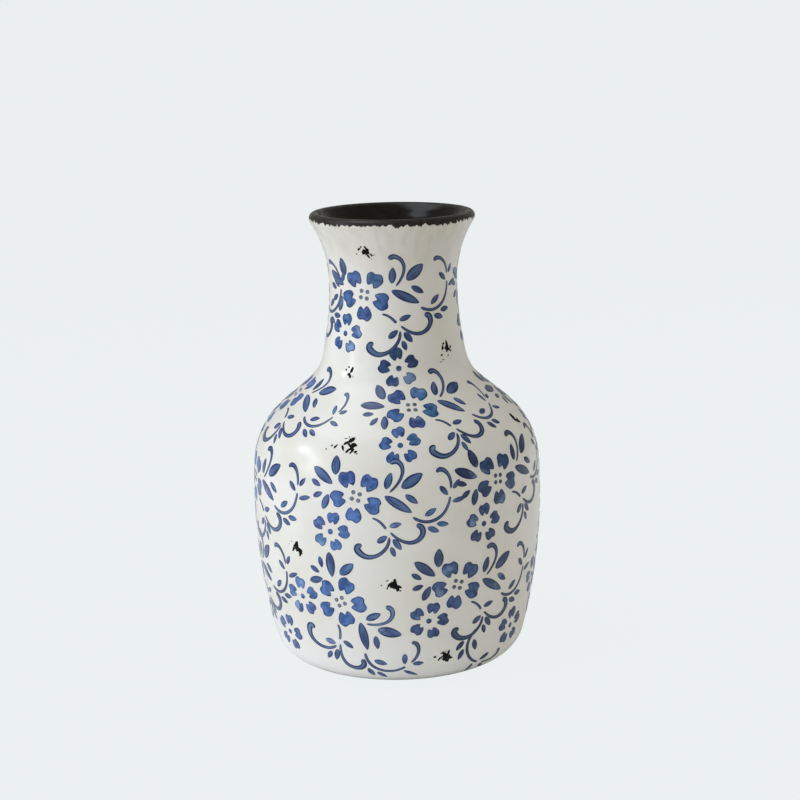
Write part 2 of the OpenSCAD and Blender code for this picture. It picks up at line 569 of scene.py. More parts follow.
def stroke_grid(name, columns, border):
    """A flat unit strip whose outer rows are drawn close to its long edges."""
    strip = start_piece(name, bpy.ops.mesh.primitive_grid_add,
                        x_subdivisions=columns, y_subdivisions=STROKE_ROWS, size=1.0)
    inner = 1.0 / STROKE_ROWS
    select_where(strip, lambda p: abs(abs(p.y) - inner) < SAME_VERTEX)
    bpy.ops.transform.resize(value=(1.0, (0.5 - border) / inner, 1.0))
    return strip


def leaf_stamp(paint):
    """One pointed leaf of unit length and width, flat, along X."""
    leaf = stroke_grid("leaf_stamp", LEAF_COLUMNS, LEAF_BORDER)
    for column in range(LEAF_COLUMNS + 1):
        place = column / LEAF_COLUMNS
        along = (1 - math.cos(math.pi * place)) / 2
        at_tip = column in (0, LEAF_COLUMNS)
        fullness = 0.0 if at_tip else math.sin(math.pi * along ** LEAF_LEAN) ** LEAF_FULLNESS
        select_where(leaf, lambda p, x=place - 0.5: abs(p.x - x) < SAME_VERTEX)
        bpy.ops.transform.resize(value=(1.0, fullness, 1.0))
        bpy.ops.transform.translate(value=(along - place, 0.0, 0.0))
    bpy.ops.mesh.select_all(action="SELECT")
    bpy.ops.mesh.remove_doubles(threshold=SAME_VERTEX)
    drop_edge(paint)
    return leaf


def tendril_stroke(paint, tendril):
    """One tapered tendril, flat, that ends in a round blob."""
    points = np.array(tendril.points, float)
    reach = np.linalg.norm(np.diff(points, axis=0), axis=1).sum()
    columns = int(reach / TENDRIL_STEP) + TENDRIL_ENDS
    ribbon = stroke_grid("tendril_stroke", columns, TENDRIL_BORDER)
    drop_edge(paint)
    places = read_places(ribbon)
    share = (1 - np.cos(math.pi * (places[:, 0] + 0.5))) / 2
    across = places[:, 1].copy()
    line = smooth_line(points, TENDRIL_SAMPLES)
    marks = np.concatenate([[0.0], np.cumsum(np.linalg.norm(np.diff(line, axis=0), axis=1))])
    mark = share * marks[-1]
    from_end = marks[-1] - mark
    taper = np.interp(share, WIDTH_SHARES, tendril.widths)
    end = tendril.widths[-1] / 2
    round_end = 2 * np.sqrt(np.clip(end ** 2 - (end - from_end) ** 2, 0.0, None))
    tip = np.clip(mark / tendril.widths[0], 0.0, 1.0) ** 0.5
    width = np.where(from_end < end, round_end, taper) * tip
    heading = np.gradient(line, marks, axis=0)
    heading /= np.linalg.norm(heading, axis=1)[:, None]
    turning = np.gradient(np.unwrap(np.arctan2(heading[:, 1], heading[:, 0])), marks)
    bend = np.interp(mark, marks, turning)
    room = TIGHTEST_BEND / np.maximum(np.abs(bend), LEAST_BEND)
    offset = across * width
    offset = np.where(offset * bend > 0, np.clip(offset, -room, room), offset)
    for axis, sideways in ((0, -heading[:, 1]), (1, heading[:, 0])):
        middle = np.interp(mark, marks, line[:, axis])
        places[:, axis] = (middle + np.interp(mark, marks, sideways) * offset) * MM
    write_places(ribbon, places)
    return ribbon


def copy_stamp(stamp, x, y, turn, scale_x=1.0, scale_y=1.0):
    """A copy of a stamp with its own mesh, at a place on the flat sheet in millimetres."""
    copy = stamp.copy()
    copy.data = stamp.data.copy()
    bpy.context.collection.objects.link(copy)
    copy.data.transform(Matrix.Translation((x * MM, y * MM, 0.0))
                        @ Matrix.Rotation(math.radians(turn), 4, "Z")
                        @ Matrix.Diagonal((scale_x, scale_y, 1.0, 1.0)))
    return copy


def flat_sheet(name, strokes):
    """Joins flat strokes into one sheet, and numbers them."""
    for number, stroke in enumerate(strokes):
        mark = stroke.data.attributes.new("stroke", "INT", "POINT")
        mark.data.foreach_set("value", [number] * len(stroke.data.vertices))
    return join_pieces(name, strokes)


def lay_round(flat, place, lift):
    """Flat places (x, y, rise) laid round the outside of the vase from the sprig's own place.

    The wall there is taken for a cone, on which a flat sheet lies without creases.
    """
    turn = math.radians(place.turn)
    across = flat[:, 0] * math.cos(turn) - flat[:, 1] * math.sin(turn)
    along = flat[:, 0] * math.sin(turn) + flat[:, 1] * math.cos(turn)
    start = OUTSIDE.mark_at(place.height * MM)
    narrowing = -np.interp(start, OUTSIDE.marks, OUTSIDE.widening) / OUTSIDE.radius(start)
    to_tip = np.hypot(narrowing * across, 1.0 - narrowing * along)
    mark = start + (2 * along - narrowing * (across ** 2 + along ** 2)) / (1.0 + to_tip)
    angle = math.radians(place.angle) + across / OUTSIDE.radius(mark)
    return OUTSIDE.places(mark, angle, flat[:, 2] + lift)


def paint_sprigs(name, sheets, paint):
    """Lays a copy of each flat sheet round the vase at every place that has its group of strokes."""
    layer = LAYERS[name]
    chance = np.random.default_rng(SEED + layer)
    copies = []
    for order, place in enumerate(PLACES):
        for group in place.groups:
            if group not in sheets:
                continue
            sheet = sheets[group]
            copy = copy_stamp(sheet, 0.0, 0.0, 0.0)
            flat = read_places(copy)
            lift = paint.rise + layer * LAYER_STEP + order * SPRIG_STEP
            write_places(copy, lay_round(flat, place, lift))
            strokes = np.empty(len(flat), np.int32)
            copy.data.attributes["stroke"].data.foreach_get("value", strokes)
            tints = chance.uniform(0.0, 1.0, strokes.max() + 1)
            # The depth carries both heavier paint and painted shade on the sprigs that face away from the
            # key lamp
            values = {"tint": tints[strokes], "edge": (flat[:, 2] < 0).astype(float),
                      "depth": np.full(len(flat), place.depth)}
            for label, numbers in values.items():
                attribute = copy.data.attributes.new(label, "FLOAT", "POINT")
                attribute.data.foreach_set("value", numbers.astype(np.float32))
            copies.append(copy)
    remove_pieces(sheets.values())
    strokes = join_pieces(name, copies)
    thicken(strokes, paint.wall, even=False)
    return strokes


# Finishes

def add_node(tree, kind, values=None, **settings):
    """Adds a shader node. A value is a number, a colour or another node's output socket."""
    node = tree.nodes.new(kind)
    for setting, value in settings.items():
        setattr(node, setting, value)
    for socket, value in (values or {}).items():
        if isinstance(value, bpy.types.NodeSocket):
            tree.links.new(value, node.inputs[socket])
        else:
            node.inputs[socket].default_value = value
    return node


def noise_value(tree, place, scale, detail=2.0):
    """Noise from 0 to 1 at a place, with a scale in waves per metre."""
    return add_node(tree, "ShaderNodeTexNoise",
                    {"Vector": place, "Scale": scale, "Detail": detail}).outputs["Fac"]


def ramp(tree, value, low, high):
    """0 from the low value on, 1 from the high one on, smooth between. The low one may be the greater."""
    return add_node(tree, "ShaderNodeMapRange", {"Value": value, "From Min": low, "From Max": high},
                    interpolation_type="SMOOTHSTEP").outputs["Result"]


def maths(tree, operation, first, second, third=0.0):
    """What an operation makes of two or three numbers or sockets."""
    node = add_node(tree, "ShaderNodeMath", {0: first, 1: second, 2: third}, operation=operation)
    return node.outputs["Value"]


def times(tree, first, second):
    """The product of two numbers or sockets."""
    return maths(tree, "MULTIPLY", first, second)


# Sockets of the node that mixes colours
MIX_SHARE, MIX_FIRST, MIX_SECOND, MIX_RESULT = 0, 6, 7, 2


def mix_colours(tree, share, first, second):
    """Mixes two colours. A colour is three numbers or a socket."""
    def whole(value):
        return value if isinstance(value, bpy.types.NodeSocket) else (*value, 1.0)
    node = add_node(tree, "ShaderNodeMix", {
        MIX_SHARE: share, MIX_FIRST: whole(first), MIX_SECOND: whole(second)}, data_type="RGBA")
    return node.outputs[MIX_RESULT]


def object_place(tree, scale=(1.0, 1.0, 1.0)):
    """Object coordinates, stretched by a scale."""
    place = add_node(tree, "ShaderNodeTexCoord").outputs["Object"]
    return add_node(tree, "ShaderNodeMapping", {"Vector": place, "Scale": scale}).outputs["Vector"]


def new_group(name, inputs, outputs):
    """A node group with float or colour inputs and float or colour outputs."""
    group = bpy.data.node_groups.new(name, "ShaderNodeTree")
    for label, kind in inputs.items():
        group.interface.new_socket(label, in_out="INPUT", socket_type=kind)
    for label, kind in outputs.items():
        group.interface.new_socket(label, in_out="OUTPUT", socket_type=kind)
    return group, group.nodes.new("NodeGroupInput").outputs, group.nodes.new("NodeGroupOutput").inputs


def place_group(tree, group, values):
    """Outputs of a node group that is placed in a material with its own values."""
    return add_node(tree, "ShaderNodeGroup", values, node_tree=group).outputs


def fired_glaze_group():
    """Patches, smaller clouds, upright runs, level rings and ripples of a fired glaze."""
    name = "Fired glaze"
    if name in bpy.data.node_groups:
        return bpy.data.node_groups[name]
    group, given, made = new_group(
        name, {"Patch scale": "NodeSocketFloat"},
        {label: "NodeSocketFloat" for label in ("Patches", "Clouds", "Runs", "Rings", "Ripple")})
    place = object_place(group)
    drawn_out = object_place(group, (1.0, 1.0, 0.02))
    pressed_flat = object_place(group, (1.0, 1.0, 6.0))
    patches = noise_value(group, place, given["Patch scale"], detail=4.0)
    clouds = noise_value(group, place, times(group, given["Patch scale"], 4.3), detail=3.0)
    runs = noise_value(group, drawn_out, scale=170.0)
    group.links.new(ramp(group, patches, low=0.42, high=0.68), made["Patches"])
    group.links.new(ramp(group, clouds, low=0.4, high=0.7), made["Clouds"])
    group.links.new(ramp(group, runs, low=0.35, high=0.7), made["Runs"])
    group.links.new(noise_value(group, pressed_flat, scale=28.0), made["Rings"])
    group.links.new(noise_value(group, place, scale=70.0), made["Ripple"])
    return group


def stroke_noise(tree, tint, stretch, detail):
    """Noise from 0 to 1 along and across a stroke's own length and width, other on each stroke."""
    flat = add_node(tree, "ShaderNodeUVMap", uv_map="UVMap").outputs["UV"]
    drawn_out = add_node(tree, "ShaderNodeMapping", {"Vector": flat, "Scale": (*stretch, 1.0)})
    return add_node(tree, "ShaderNodeTexNoise", {
        "Vector": drawn_out.outputs["Vector"], "W": times(tree, tint, 40.0), "Scale": 1.0,
        "Detail": detail}, noise_dimensions="4D").outputs["Fac"]


PAINT_SHADES = ("Main", "Second", "Third", "Dark", "Pale", "Shade")


def brush_wash_group():
    """Watery blue of a brushed stroke: hue, brush marks, pools, washed-out places and dark border."""
    name = "Brush wash"
    if name in bpy.data.node_groups:
        return bpy.data.node_groups[name]
    inputs = {label: "NodeSocketFloat" for label in ("Edge", "Tint", "Depth", "Border", "Fading")}
    inputs.update({label: "NodeSocketColor" for label in PAINT_SHADES})
    outputs = {"Colour": "NodeSocketColor", "Pool": "NodeSocketFloat"}
    group, given, made = new_group(name, inputs, outputs)
    place = object_place(group)
    drift = times(group, noise_value(group, place, scale=110.0), 0.5)
    hue = maths(group, "ADD", given["Tint"], drift)
    body = mix_colours(group, ramp(group, hue, low=0.55, high=0.2), given["Main"], given["Second"])
    body = mix_colours(group, ramp(group, hue, low=1.02, high=1.3), body, given["Third"])
    marks = stroke_noise(group, given["Tint"], stretch=(2.0, 8.0), detail=2.0)
    pools = stroke_noise(group, given["Tint"], stretch=(2.2, 2.2), detail=1.0)
    tone = maths(group, "MULTIPLY_ADD", marks, 0.35, times(group, pools, 0.65))
    deep = mix_colours(group, 0.6, body, given["Dark"])
    light = mix_colours(group, 0.16, body, given["Pale"])
    body = mix_colours(group, ramp(group, tone, low=0.36, high=0.62), deep, light)
    # Heavier paint and painted shade: the depth darkens the stroke towards the shade colour
    body = mix_colours(group, times(group, given["Depth"], 0.75), body, given["Shade"])
    thin = ramp(group, noise_value(group, place, scale=75.0), low=0.6, high=0.72)
    body = mix_colours(group, times(group, thin, given["Fading"]), body, given["Pale"])
    uneven = ramp(group, noise_value(group, place, scale=160.0), low=0.3, high=0.6)
    strength = times(group, maths(group, "MULTIPLY_ADD", uneven, 0.4, 0.6), given["Border"])
    border = times(group, ramp(group, given["Edge"], low=0.0, high=0.35), strength)
    group.links.new(mix_colours(group, border, body, given["Dark"]), made["Colour"])
    group.links.new(tone, made["Pool"])
    return group


def new_material(name):
    """A new material, with its node tree and its shader."""
    material = bpy.data.materials.new(name)
    material.use_nodes = True
    return material, material.node_tree, material.node_tree.nodes["Principled BSDF"]


def bump(tree, shader, height, strength, distance):
    """Dents a surface by a height from 0 to 1."""
    node = add_node(tree, "ShaderNodeBump",
                    {"Height": height, "Strength": strength, "Distance": distance})
    tree.links.new(node.outputs["Normal"], shader.inputs["Normal"])


def roughen(tree, shader, value, smoothest, roughest):
    """Lets a surface's roughness follow a value from 0 to 1."""
    node = add_node(tree, "ShaderNodeMapRange",
                    {"Value": value, "To Min": smoothest, "To Max": roughest})
    tree.links.new(node.outputs["Result"], shader.inputs["Roughness"])


# Heights between which the coat gets painted bounce light near the foot, stained runs over painted shade
# near the rim and a painted contact shadow at its lower edge
FOOT_BOUNCE_LIGHT = (50 * MM, 15 * MM)
STAINED_AND_SHADED_RIM = (225 * MM, 270 * MM)
CONTACT_SHADOW_EDGE = (4.5 * MM, 2.8 * MM)


def cream_finish(colours):
    """Glossy warm white tin glaze with pale and warm patches, stained runs and painted shade under the rim,
    painted bounce light near the foot and a painted contact shadow at its lower edge.
    """
    material, tree, shader = new_material("cream_glaze")
    glaze = place_group(tree, fired_glaze_group(), {"Patch scale": 26.0})
    base = mix_colours(tree, glaze["Patches"], colours.cream, colours.cream_warm)
    base = mix_colours(tree, times(tree, glaze["Clouds"], 0.08), base, colours.cream_pale_and_bounce_light)
    height = add_node(tree, "ShaderNodeSeparateXYZ", {"Vector": object_place(tree)}).outputs["Z"]
    # Painted bounce light: the coat turns paler towards the foot
    bounce_light_near_foot = times(tree, ramp(tree, height, *FOOT_BOUNCE_LIGHT), 0.5)
    base = mix_colours(tree, bounce_light_near_foot, base, colours.cream_pale_and_bounce_light)
    # Stained runs under the rim, laid over an even painted shade of the downward-facing flare
    runs = maths(tree, "MULTIPLY_ADD", glaze["Runs"], 0.25, 0.38)
    stain_and_shade = times(tree, ramp(tree, height, *STAINED_AND_SHADED_RIM), runs)
    base = mix_colours(tree, stain_and_shade, base, colours.streak_and_shade)
    # Painted contact shadow: the coat darkens to the clay colour along its lowest edge
    base = mix_colours(tree, ramp(tree, height, *CONTACT_SHADOW_EDGE), base, colours.clay)
    tree.links.new(base, shader.inputs["Base Color"])
    roughen(tree, shader, glaze["Clouds"], smoothest=0.21, roughest=0.23)
    bump(tree, shader, glaze["Ripple"], strength=0.08, distance=0.4 * MM)
    return material


def paint_finish(name, colours, shades, border, fading):
    """Glossy brushed blue. The shades name its three hues, its dark border and its washed-out places."""
    material, tree, shader = new_material(name)
    values = {}
    for label in ("edge", "tint", "depth"):
        attribute = add_node(tree, "ShaderNodeAttribute", attribute_name=label)
        values[label.capitalize()] = attribute.outputs["Fac"]
    for socket, shade in zip(PAINT_SHADES, (*shades, "shade")):
        values[socket] = (*getattr(colours, shade), 1.0)
    values.update({"Border": border, "Fading": fading})
    wash = place_group(tree, brush_wash_group(), values)
    tree.links.new(wash["Colour"], shader.inputs["Base Color"])
    roughen(tree, shader, wash["Pool"], smoothest=0.12, roughest=0.3)
    bump(tree, shader, wash["Pool"], strength=0.15, distance=0.1 * MM)
    return material


def dark_finish(name, main, worn, scale, roughness, gloss, relief):
    """Dark glaze or clay with worn, dusty clouds. The relief names the glaze's output that dents it."""
    material, tree, shader = new_material(name)
    glaze = place_group(tree, fired_glaze_group(), {"Patch scale": scale})
    wear = times(tree, glaze["Clouds"], 0.6)
    tree.links.new(mix_colours(tree, wear, main, worn), shader.inputs["Base Color"])
    roughen(tree, shader, glaze["Patches"], *roughness)
    shader.inputs["Specular IOR Level"].default_value = gloss
    bump(tree, shader, glaze[relief], strength=0.4, distance=0.4 * MM)
    return material


# Pieces

# Colours of each kind of stroke: three hues, dark border and washed-out places
PETAL_SHADES = ("cobalt", "violet", "turquoise", "outline", "washed")
LEAF_SHADES = ("leaf", "violet", "turquoise", "outline", "washed")
TENDRIL_SHADES = ("tendril", "tendril", "leaf", "tendril_edge", "washed")
DOT_SHADES = ("dot", "dot", "tendril", "tendril_edge", "washed")

# The coat's ragged edge: waves round the vase with their starts, and how the teeth differ
DRIFT_WAVES = ((2, 0.4), (5, 1.9), (11, 4.0))
TOOTH_WIDTHS = (0.35, 1.65)
TOOTH_DEPTHS = (-1.0, 0.3)
TOOTH_SHARES = (1, 3)
EDGE_CUTS = 3


def ragged_edge(coat, wall):
    """Splits the strip under the coat's upper edge more finely and pulls it into uneven teeth."""
    zone_start = COAT_END - wall.edge_zone
    zone_height = OUTSIDE.outline(zone_start)[0][1]
    make_active(coat)
    bpy.ops.object.mode_set(mode="EDIT")
    select_faces(coat, lambda middle: middle.z > zone_height)
    bpy.ops.mesh.subdivide(number_cuts=EDGE_CUTS)
    bpy.ops.mesh.select_mode(type="VERT")
    bpy.ops.object.mode_set(mode="OBJECT")
    places = read_places(coat)
    upper = places[:, 2] > zone_height
    angles = np.arctan2(places[upper, 0], -places[upper, 1])
    marks = OUTSIDE.mark_at(places[upper, 2])
    share = np.clip((marks - zone_start) / wall.edge_zone, 0.0, 1.0)
    waves = [np.sin(count * angles + start) for count, start in DRIFT_WAVES]
    teeth = wall.edge_drift * sum(waves) / len(waves)
    around = math.tau * OUTSIDE.radius(COAT_END)
    chance = np.random.default_rng(SEED)
    for finer in TOOTH_SHARES:
        widths = chance.uniform(*TOOTH_WIDTHS, int(2 * around / (wall.tooth_pitch / finer)))
        corners = np.cumsum(widths) / widths.sum() * math.tau
        depths = wall.tooth_height / finer * chance.uniform(*TOOTH_DEPTHS, len(corners))
        teeth = teeth + np.interp(angles, corners, depths, period=math.tau)
    places[upper] = OUTSIDE.places(marks + share * teeth, angles)
    write_places(coat, places)


# Worn spots as groups of broken bits, in millimetres from the middle of the spot
BLOT = [
    Bit(0, -0.2, 3.6, 3.0, 0), Bit(1.3, 0.3, 3.0, 1.8, 90), Bit(0.3, 2.6, 2.3, 1.3, 110),
    Bit(1.2, -2.8, 2.7, 1.0, -55), Bit(-4.0, 1.5, 2.2, 1.1, 40), Bit(-2.4, 3.1, 1.0, 0.9, 0),
    Bit(3.2, -2.0, 1.8, 1.0, 90), Bit(4.8, -2.2, 1.8, 0.5, 15), Bit(-6.1, -1.9, 1.0, 0.8, 0),
    Bit(3.2, -4.5, 1.2, 0.5, 90),
]
SPIKE = [
    Bit(-0.1, 2.1, 3.2, 1.5, 95), Bit(-0.4, -0.7, 3.4, 2.6, 60), Bit(1.8, -2.0, 2.8, 1.2, -45),
    Bit(-3.0, 2.3, 1.6, 1.2, 0), Bit(-4.0, -0.1, 2.0, 1.3, 70), Bit(3.0, -0.4, 1.6, 1.3, 70),
    Bit(-5.4, -4.2, 1.5, 1.0, 40), Bit(-5.0, -7.0, 1.1, 0.8, 0), Bit(-7.1, -8.1, 1.1, 0.7, 30),
    Bit(-0.3, -5.2, 1.4, 0.8, 60),
]
CROOK = [
    Bit(0.6, 1.5, 3.2, 1.5, 72), Bit(-1.0, -1.1, 1.8, 1.4, 20), Bit(0.3, -2.2, 2.0, 1.4, -65),
    Bit(-1.8, 3.2, 1.2, 1.0, 0), Bit(-3.7, 1.4, 1.1, 0.9, 0), Bit(2.3, -2.2, 1.2, 0.4, 90),
]
CRUMBS = [
    Bit(1.2, 3.5, 3.5, 2.2, 45), Bit(-1.6, 1.5, 3.8, 1.5, 35), Bit(0.2, 0.2, 2.4, 1.3, -55),
    Bit(3.2, 0.5, 3.0, 1.6, -20), Bit(2.1, -1.4, 2.8, 1.8, 80), Bit(-3.5, -1.8, 3.0, 1.3, -65),
    Bit(-0.2, -3.4, 3.0, 1.3, 50), Bit(2.6, -3.4, 2.3, 1.1, 60), Bit(1.5, -4.7, 1.2, 0.8, 90),
    Bit(4.8, -3.7, 1.9, 1.0, 40), Bit(5.8, -4.8, 1.0, 0.9, 0), Bit(-8.4, -1.2, 2.5, 1.0, 50),
    Bit(-10.9, -0.6, 1.6, 0.9, 25), Bit(-14.2, -2.8, 1.0, 0.8, 0), Bit(-2.7, 4.1, 1.7, 0.6, 0),
    Bit(-0.7, 5.2, 0.9, 0.7, 0),
]
SCRATCH = [Bit(-1.5, 0.8, 4.8, 2.6, -76), Bit(1.2, -2.4, 5.0, 1.9, -29), Bit(3.2, -1.1, 1.3, 0.9, 0)]
SLASH = [
    Bit(0.6, -0.2, 6.0, 2.8, -33), Bit(0.1, 2.7, 3.0, 1.9, 85), Bit(-3.0, -0.9, 2.9, 1.4, 60),
    Bit(2.6, -2.8, 2.8, 1.8, 90), Bit(3.6, -1.3, 2.0, 1.0, 10), Bit(-4.4, 3.6, 1.6, 0.5, 10),
    Bit(-6.6, 1.5, 0.9, 0.6, 0),
]
LOBES = [
    Bit(0, 0.2, 3.8, 3.2, 60), Bit(0.6, 2.4, 2.4, 1.5, 80), Bit(-2.6, 0, 3.2, 1.2, 52),
    Bit(-3.7, -2.1, 1.2, 0.8, 70), Bit(2.6, -0.9, 3.6, 1.3, -22), Bit(0.8, -1.8, 2.8, 1.5, -10),
    Bit(2.3, -2.8, 2.6, 1.6, 75), Bit(4.0, -3.8, 1.0, 0.9, 0), Bit(-3.8, 2.6, 1.5, 0.8, 20),
    Bit(-7.2, -0.3, 0.9, 0.8, 0),
]
FLAKE = [
    Bit(0, 0, 4.4, 3.6, 90), Bit(1.6, 2.5, 2.8, 1.3, 80), Bit(2.6, -1.2, 2.8, 1.6, -15),
    Bit(1.0, -3.0, 2.4, 1.6, 30), Bit(-0.8, -2.2, 1.8, 1.1, 60), Bit(-3.6, -1.1, 3.6, 1.1, 42),
    Bit(-2.5, 2.7, 2.7, 1.0, 30), Bit(-0.2, 3.7, 0.9, 0.7, 0), Bit(-6.9, 0.3, 1.6, 1.1, 0),
    Bit(-10.2, -0.8, 0.8, 0.7, 0),
]
SPOTS = [
    Spot(-21.7, 260.5, 0, BLOT), Spot(48.3, 200.6, 0, SPIKE), Spot(-35.7, 187.6, 0, CROOK),
    Spot(-20.3, 151.9, 0, CRUMBS), Spot(69.5, 155.7, 0, SCRATCH), Spot(-43.2, 87, 0, SLASH),
    Spot(-2.2, 70, 0, LOBES), Spot(20, 20.7, 0, FLAKE), Spot(112, 258, 120, LOBES),
    Spot(170, 200, 200, CROOK), Spot(232, 262, 60, SPIKE), Spot(161, 153, 150, FLAKE),
    Spot(245, 150, 40, SLASH), Spot(217.5, 73, 90, CRUMBS), Spot(187, 91, 210, BLOT),
    Spot(255, 88, 0, SCRATCH), Spot(120, 30, 160, SLASH), Spot(246, 26, 30, LOBES),
    Spot(106, 75, 75, SLASH),
]


def away_from(bit, place):
    """Distance of a place from a bit's middle, where 1 is its round border."""
    turn = math.radians(bit.turn)
    x, y = place.x - bit.x, place.y - bit.y
    along = x * math.cos(turn) + y * math.sin(turn)
    across = y * math.cos(turn) - x * math.sin(turn)
    return math.hypot(along / (bit.length / 2), across / (bit.width / 2))


# How far a spot's grid runs on past its bits, and how ragged these are: strength and waves per millimetre
SPOT_SPARE = 1.2
SPOT_BORDER = 1.4
SPOT_NOISE = ((0.5, 0.9), (0.3, 2.1))
SPOT_NOISE_STEP = 9.7


def spot_stamp(paint, bits, number):
    """One worn spot: a fine flat grid broken up into ragged bits."""
    wide, tall = [2 * SPOT_SPARE * max(abs(bit[axis]) + bit.length / 2 for bit in bits) * MM
                  for axis in (0, 1)]
    stamp = start_piece("spot_stamp", bpy.ops.mesh.primitive_grid_add, size=1.0,
                        x_subdivisions=int(wide / paint.spot_cell),
                        y_subdivisions=int(tall / paint.spot_cell))
    bpy.ops.transform.resize(value=(wide, tall, 1.0))

    def sound(middle):
        place = Vector((middle.x / MM, middle.y / MM, SPOT_NOISE_STEP * number))
        ragged = sum(strength * noise.noise(place * waves) for strength, waves in SPOT_NOISE)
        return min(away_from(bit, place) for bit in bits) + ragged > SPOT_BORDER
    select_faces(stamp, sound)
    bpy.ops.mesh.delete(type="FACE")
    bpy.ops.mesh.select_mode(type="VERT")
    bpy.ops.mesh.select_all(action="SELECT")
    bpy.ops.mesh.vertices_smooth(factor=0.5, repeat=3)
    bpy.ops.object.mode_set(mode="OBJECT")
    return stamp


def flower_petals(paint, centre, ring, first_turn, share):
    """Five petals round a flower's middle, flat, each turned and sized a little differently."""
    stamps = [petal_stamp(paint, share, side) for side in (-1, 1)]
    chance = np.random.default_rng(SEED)
    petals = []
    for number in range(PETAL_COUNT):
        turn = first_turn + 360 / PETAL_COUNT * number
        x = centre[0] + ring * math.cos(math.radians(turn))
        y = centre[1] + ring * math.sin(math.radians(turn))
        size = chance.uniform(*PETAL_SIZES)
        sway = chance.uniform(-PETAL_SWAY, PETAL_SWAY)
        petals.append(copy_stamp(stamps[number % 2], x, y, turn - 90 + sway, size, size))
    remove_pieces(stamps)
    return petals


# Stage

FLOOR_SIZE = 8.0
FLOOR_WHITE = (0.95, 0.95, 0.95)
BACKDROP_HEIGHT = 4.0
BACKDROP_BEND = 1.5
EVEN_LIGHT = 0.97
ROOM_LIGHT = (1.0, 0.96, 0.81)
ROOM_STRENGTH = 0.302

# Soft lamps: angle from the front to the right, height above the horizon, distance, width and height,
# watts and colour. One that isn't mirrored shows in no reflection, one that isn't lighting only there.
Lamp = namedtuple("Lamp", "name angle elevation distance size power colour mirrored lighting lean",
                  defaults=(True, True, 0))
LAMPS = [
    Lamp("key", -60, 16, 1.6, (1.0, 1.4), 14.9, "deebff", mirrored=False),
    Lamp("window", -87.5, 25.5, 1.5, (0.12, 0.16), 1.35, "f3f8ff"),
    Lamp("window_bar", -72, 21.5, 1.5, (0.12, 0.42), 1.2, "f3f8ff", lighting=False, lean=60),
    Lamp("window_sill", -72, 11, 1.5, (0.18, 0.36), 1.0, "f3f8ff", lighting=False, lean=24),
    Lamp("fill", 88, 40, 1.6, (1.0, 1.4), 4.1, "f4f8ff", mirrored=False),
    Lamp("edge", 128, 8, 1.6, (0.8, 1.4), 4.5, "e2ebff", mirrored=False),
    Lamp("front", -28, 8, 1.6, (0.9, 0.5), 0.8, "ffe6cc", mirrored=False),
    Lamp("top", -80, 64, 1.5, (1.2, 1.0), 7.8, "f0f6ff"),
]


def make_backdrop(colours):
    """A pale floor that bends up into a backdrop. The camera sees it as even light with a soft shadow."""
    far = 0.9 * FLOOR_SIZE / 2
    floor = start_piece("backdrop", bpy.ops.mesh.primitive_plane_add, size=FLOOR_SIZE)
    select_where(floor, lambda p: p.y > far)
    bpy.ops.mesh.extrude_region_move(TRANSFORM_OT_translate={"value": (0.0, 0.0, BACKDROP_HEIGHT)})
    select_where(floor, lambda p: p.y > far and p.z < BACKDROP_HEIGHT / 2)
    bpy.ops.mesh.bevel(offset=BACKDROP_BEND, segments=16, affect="EDGES")
    bpy.ops.object.mode_set(mode="OBJECT")
    bpy.ops.object.shade_smooth()
    material, tree, shader = new_material("backdrop")
    shader.inputs["Base Color"].default_value = (*FLOOR_WHITE, 1.0)
    shader.inputs["Roughness"].default_value = 0.9
    glow = add_node(tree, "ShaderNodeEmission", {"Color": (*colours.backdrop, 1.0), "Strength": 1.0})
    share = times(tree, seen_directly(tree), EVEN_LIGHT)
    mixed = add_node(tree, "ShaderNodeMixShader",
                     {0: share, 1: shader.outputs["BSDF"], 2: glow.outputs["Emission"]})
    tree.links.new(mixed.outputs["Shader"], tree.nodes["Material Output"].inputs["Surface"])
    floor.data.materials.append(material)


def seen_directly(tree):
    """1 for what the camera sees straight, and else 0."""
    return add_node(tree, "ShaderNodeLightPath").outputs["Is Camera Ray"]


def make_world(scene, colours):
    """Soft warm light from all round, in front of an even pale background."""
    world = bpy.data.worlds.new("studio")
    world.use_nodes = True
    tree = world.node_tree
    tree.nodes.clear()
    room = add_node(tree, "ShaderNodeBackground",
                    {"Color": (*ROOM_LIGHT, 1.0), "Strength": ROOM_STRENGTH})
    pale = add_node(tree, "ShaderNodeBackground", {"Color": (*colours.backdrop, 1.0), "Strength": 1.0})
    mixed = add_node(tree, "ShaderNodeMixShader", {
        0: seen_directly(tree), 1: room.outputs["Background"], 2: pale.outputs["Background"]})
    out = add_node(tree, "ShaderNodeOutputWorld")
    tree.links.new(mixed.outputs["Shader"], out.inputs["Surface"])
    scene.world = world


def add_lamp(lamp):
    """A soft lamp, aimed at the vase's middle."""
    turn, climb = math.radians(lamp.angle), math.radians(lamp.elevation)
    way = Vector((math.sin(turn) * math.cos(climb), -math.cos(turn) * math.cos(climb), math.sin(climb)))
    target = Vector((0.0, 0.0, CAD_BOX[1].z / 2))
    bpy.ops.object.light_add(type="AREA", location=target + way * lamp.distance)
    box = bpy.context.object
    box.name = lamp.name
    aim = (-way).to_track_quat("-Z", "Y").to_matrix()
    box.rotation_euler = (aim @ Matrix.Rotation(math.radians(lamp.lean), 3, "Z")).to_euler()
    box.data.shape = "RECTANGLE"
    box.data.size, box.data.size_y = lamp.size
    box.data.energy = lamp.power
    box.data.color = linear(lamp.colour)
    box.visible_glossy = lamp.mirrored
    box.visible_diffuse = lamp.lighting
    box.visible_camera = False


